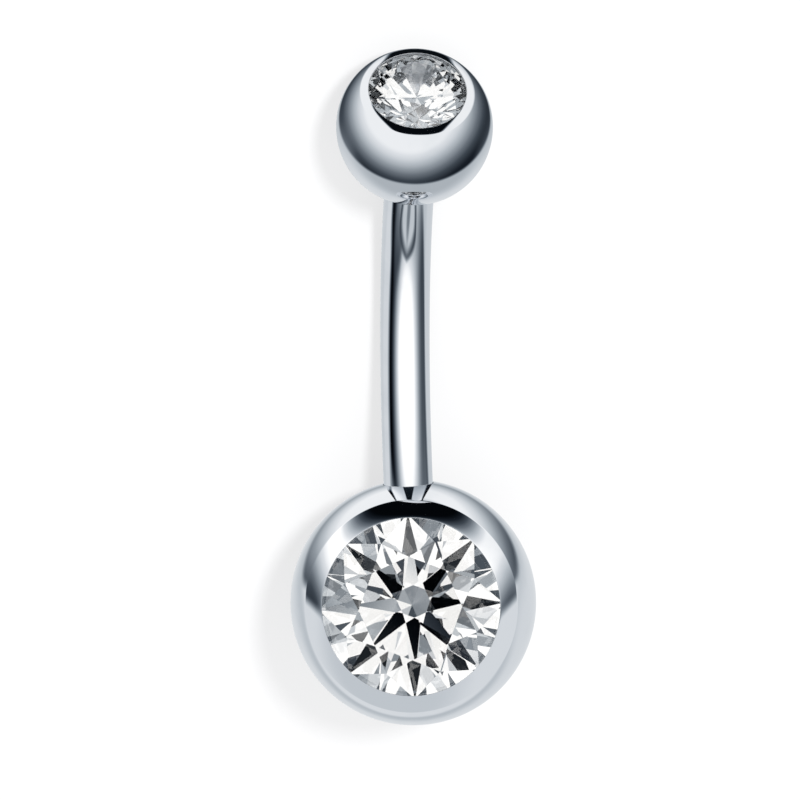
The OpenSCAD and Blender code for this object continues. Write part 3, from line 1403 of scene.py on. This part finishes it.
SMALL_STONE_CARDS: tuple[Card, ...] = (
    # Two rings round the camera that get lighter inwards
    Card((0.00, 0.00, 1.00), 80.0, 80.0, 4.0, 0.67),
    Card((0.00, 0.09, 1.00), 36.0, 36.0, 3.0, 0.95),
    # A dim card and three black flags below
    Card((0.35, -0.57, 0.74), 11.0, 11.0, 3.0, 0.3),
    Card((0.11, -0.46, 0.88), 12.0, 19.0, 1.0, 0.0),
    Card((0.48, -0.37, 0.80), 16.0, 16.0, 1.0, 0.0),
    Card((-0.23, -0.37, 0.90), 12.0, 19.0, 1.0, 0.0),
    # A white card on the left, and a grey one at the camera
    Card((-0.20, 0.10, 0.97), 13.0, 13.0, 1.0, 0.95),
    Card((0.00, 0.00, 1.00), 11.0, 12.0, 2.0, 0.8),
)


class Catches(Enum):
    """The kind of ray that a surround shows itself to."""

    MIRROR = "mirror"
    CLEAR = "clear"


@dataclass
class Surround:
    """A glowing dome round the ring that lights one piece alone, as a studio's cards and flags would.

    It glows with a base brightness and cards laid over it in order. Nothing else sees it, and it casts no
    light on the table.
    """

    name: str
    view: View
    lit: Sequence[bpy.types.Object]
    radius: float
    base: float
    cards: Sequence[Card]
    catches: Catches = Catches.MIRROR
    rows: int = 24
    columns: int = 48

    def material(self) -> bpy.types.Material:
        """Makes the glow: the direction picks the brightness, and a ramp gives the brightness its tone.

        Returns:
            A material that glows and lets light through.
        """
        made, sheet = blank_material(self.name)
        made.cycles.emission_sampling = "NONE"
        direction = sheet.vector_math("NORMALIZE", sheet.position()).outputs[0]
        level: Operand = self.base
        for card in self.cards:
            mask = card.mask(sheet, direction, self.view)
            level = level * (1 - mask) + mask * card.level
        ramp = sheet.node("ShaderNodeValToRGB", {"stops": STUDIO_TONES}, {0: level})
        glow = sheet.node("ShaderNodeEmission", None, {"Color": ramp.outputs[0], "Strength": 1.0})
        through = sheet.node("ShaderNodeBsdfTransparent")
        both = sheet.node("ShaderNodeAddShader", None, {0: glow.outputs[0], 1: through.outputs[0]})
        sheet.output(both.outputs[0])
        return made

    def surface(self) -> ClosedSurface:
        """Gives a ball round the origin, as rings of longitude and latitude.

        Returns:
            The dome's surface.
        """
        latitude = np.linspace(0, np.pi, self.rows + 2)[1:-1, None]
        longitude = np.linspace(0, 2 * np.pi, self.columns, endpoint=False)
        rings = self.radius * np.stack([
            np.sin(latitude) * np.cos(longitude),
            np.sin(latitude) * np.sin(longitude),
            np.broadcast_to(np.cos(latitude), (self.rows, self.columns)),
        ], -1)
        pole = np.array([0.0, 0.0, self.radius])
        return ClosedSurface(rings, pole, -pole)

    def build(self) -> bpy.types.Object:
        """Makes the dome and lets only its own pieces receive its light.

        Returns:
            The dome.
        """
        dome = show(self.surface().mesh(self.name), self.material())
        dome.visible_camera = dome.visible_diffuse = dome.visible_shadow = dome.visible_volume_scatter = False
        dome.visible_glossy = True
        dome.visible_transmission = self.catches is Catches.CLEAR
        receivers = bpy.data.collections.new(self.name + "_lights")
        for piece in self.lit:
            receivers.objects.link(piece)
        dome.light_linking.receiver_collection = receivers
        return dome


@dataclass
class Studio:
    """The pale table, the two lamps that light it, and the white backdrop. Sizes are in millimetres."""

    view: View
    table_size: float = 900.0
    key_towards: Triple = (0.215, 0.065, 0.974)
    key_distance: float = 450.0
    key_size: float = 64.0
    key_power: float = 0.56
    fill: float = 2.51
    sky: float = 0.25

    def table(self) -> bpy.types.Object:
        """Makes the table top that the ring lies on.

        Returns:
            The table.
        """
        half = self.table_size / 2 * MM
        mesh = bpy.data.meshes.new("table_top")
        corners = [(-half, -half, 0), (half, -half, 0), (half, half, 0), (-half, half, 0)]
        mesh.from_pydata(corners, [], [(0, 1, 2, 3)])
        top = show(mesh, PaleTable("table_paint").material())
        top.visible_glossy = False
        top.visible_transmission = False
        return top

    def key(self) -> bpy.types.Object:
        """Makes the lamp by the camera that throws the ring's soft shadow on the table.

        Returns:
            The lamp.
        """
        lamp = bpy.data.lights.new("key", "AREA")
        lamp.shape = "DISK"
        lamp.size = self.key_size * MM
        lamp.energy = self.key_power
        shown = bpy.data.objects.new("key", lamp)
        bpy.context.scene.collection.objects.link(shown)
        towards = self.view.towards(self.key_towards)
        side = unit(np.cross([0.0, 1.0, 0.0], towards))
        matrix = np.eye(4)
        matrix[:3, :3] = np.stack([side, np.cross(towards, side), towards], 1)
        matrix[:3, 3] = towards * self.key_distance * MM
        shown.matrix_world = Matrix(matrix.tolist())
        shown.visible_glossy = shown.visible_transmission = shown.visible_camera = False
        return shown

    def even_light(self) -> bpy.types.Object:
        """Makes the light that comes from all over the ceiling, so evenly that it throws no shadow.

        Returns:
            The lamp.
        """
        lamp = bpy.data.lights.new("even_light", "SUN")
        lamp.energy = self.fill
        lamp.use_shadow = False
        shown = bpy.data.objects.new("even_light", lamp)
        bpy.context.scene.collection.objects.link(shown)
        shown.visible_glossy = shown.visible_transmission = False
        return shown

    def backdrop(self) -> bpy.types.World:
        """Makes the white behind the table, which lights the table a little from all round.

        Returns:
            The world.
        """
        room = bpy.data.worlds.new("backdrop")
        room.use_nodes = True
        sheet = NodeSheet(room.node_tree)
        white = (1.0, 1.0, 1.0, 1.0)
        bright = sheet.node("ShaderNodeBackground", None, {"Color": white, "Strength": 1.0})
        faint = sheet.node("ShaderNodeBackground", None, {"Color": white, "Strength": self.sky})
        direct = sheet.node("ShaderNodeLightPath").outputs["Is Camera Ray"]
        sides = {0: direct, 1: faint.outputs[0], 2: bright.outputs[0]}
        either = sheet.node("ShaderNodeMixShader", None, sides)
        sheet.node("ShaderNodeOutputWorld", None, {"Surface": either.outputs[0]})
        seen = room.cycles_visibility
        seen.glossy = seen.transmission = seen.scatter = False
        bpy.context.scene.world = room
        return room

    def build(self) -> None:
        """Makes the studio and sets how its picture is developed."""
        self.table()
        self.key()
        self.even_light()
        self.backdrop()
        scene = bpy.context.scene
        scene.view_settings.view_transform = "Standard"
        scene.view_settings.look = "None"
        scene.cycles.caustics_reflective = False
        scene.cycles.caustics_refractive = False
        scene.cycles.max_bounces = 24
        scene.cycles.glossy_bounces = 16
        scene.cycles.transmission_bounces = 24
        scene.cycles.transparent_max_bounces = 40
        LOG.info("studio: table, key lamp, even light and backdrop")


def surrounds(view: View, bar: bpy.types.Object, large: bpy.types.Object, small: bpy.types.Object,
              large_stone: bpy.types.Object, small_stone: bpy.types.Object) -> list[Surround]:
    """Lists what each piece is lit by.

    Args:
        view: The picture's axes.
        bar: The bar.
        large: The large ball.
        small: The small ball.
        large_stone: The large stone.
        small_stone: The small stone.

    Returns:
        One surround for each, one outside another.
    """
    return [
        Surround("small_ball_surround", view, [small], radius=300.0, base=0.09, cards=SMALL_BALL_CARDS),
        Surround("large_ball_surround", view, [large], radius=310.0, base=0.2, cards=LARGE_BALL_CARDS),
        Surround("bar_surround", view, [bar], radius=320.0, base=0.0, cards=BAR_CARDS),
        Surround("large_stone_surround", view, [large_stone], radius=330.0, base=0.85,
                 cards=LARGE_STONE_CARDS, catches=Catches.CLEAR),
        Surround("small_stone_surround", view, [small_stone], radius=340.0, base=0.05,
                 cards=SMALL_STONE_CARDS, catches=Catches.CLEAR),
    ]


def main() -> None:
    """Builds the ring, the camera and the studio, and logs how many faces each new piece has."""
    logging.basicConfig(level=logging.INFO, format="%(name)s: %(message)s")
    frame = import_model()
    layout = RingLayout()
    large_setting = Setting(
        ball_r=layout.large_r, stone_r=3.0, lip_over=0.12, band=0.57, band_rise=0.26,
        girdle_top=2.09704, seat_floor=-0.765987, edge_setback=0.02)
    small_setting = Setting(
        ball_r=layout.small_r, stone_r=1.6, lip_over=0.055, band=0.275, band_rise=0.1,
        girdle_top=1.6832, seat_floor=0.131614, edge_setback=0.03, band_bulge=0.01)
    large_seat = large_setting.seat(layout.large_setting, lip_start=2.13)
    # The large seat keeps the near-black tone: painted shade under its stone
    large_steel = PolishedSteel("large_ball_steel", large_seat)
    large = LargeBall(layout, large_setting, large_steel).build()
    LOG.info("large ball: %d faces", len(large.data.polygons))
    small_seat = small_setting.seat(layout.small_setting, lip_start=1.71)
    # The small seat's near-white tone is painted light that its stone lets onto it
    small_steel = PolishedSteel(
        "small_ball_steel", small_seat, painted_seat_tone=(0.97, 0.98, 1.0), seat_roughness=0.3)
    small = SmallBall(layout, small_setting, small_steel).build()
    LOG.info("small ball: %d faces", len(small.data.polygons))
    drawn_steel = PolishedSteel(
        "bar_steel_polish", smooth=0.025, hairline_stretch=(1.0, 0.02, 1.0), hairline_height=0.00001)
    bar = BentBar(layout, drawn_steel).build()
    LOG.info("bar: %d faces", len(bar.data.polygons))
    nodes = frame["nodes"]
    large_clear = ClearStone(
        "large_stone_clear", layout.large_setting, large_setting.girdle_top,
        girdle_height=0.18, girdle_r=large_setting.stone_r)
    large_stone = SetStone(nodes["lower_gem"], large_clear).build()
    small_clear = ClearStone(
        "small_stone_clear", layout.small_setting, small_setting.girdle_top,
        girdle_height=0.096, girdle_r=small_setting.stone_r)
    small_stone = SetStone(nodes["top_gem"], small_clear).build()
    LOG.info("stones: %s, %s", large_stone.name, small_stone.name)
    view = View()
    view.build()
    Studio(view).build()
    for surround in surrounds(view, bar, large, small, large_stone, small_stone):
        surround.build()
        LOG.info("surround: %s", surround.name)


if __name__ == "__main__":
    main()
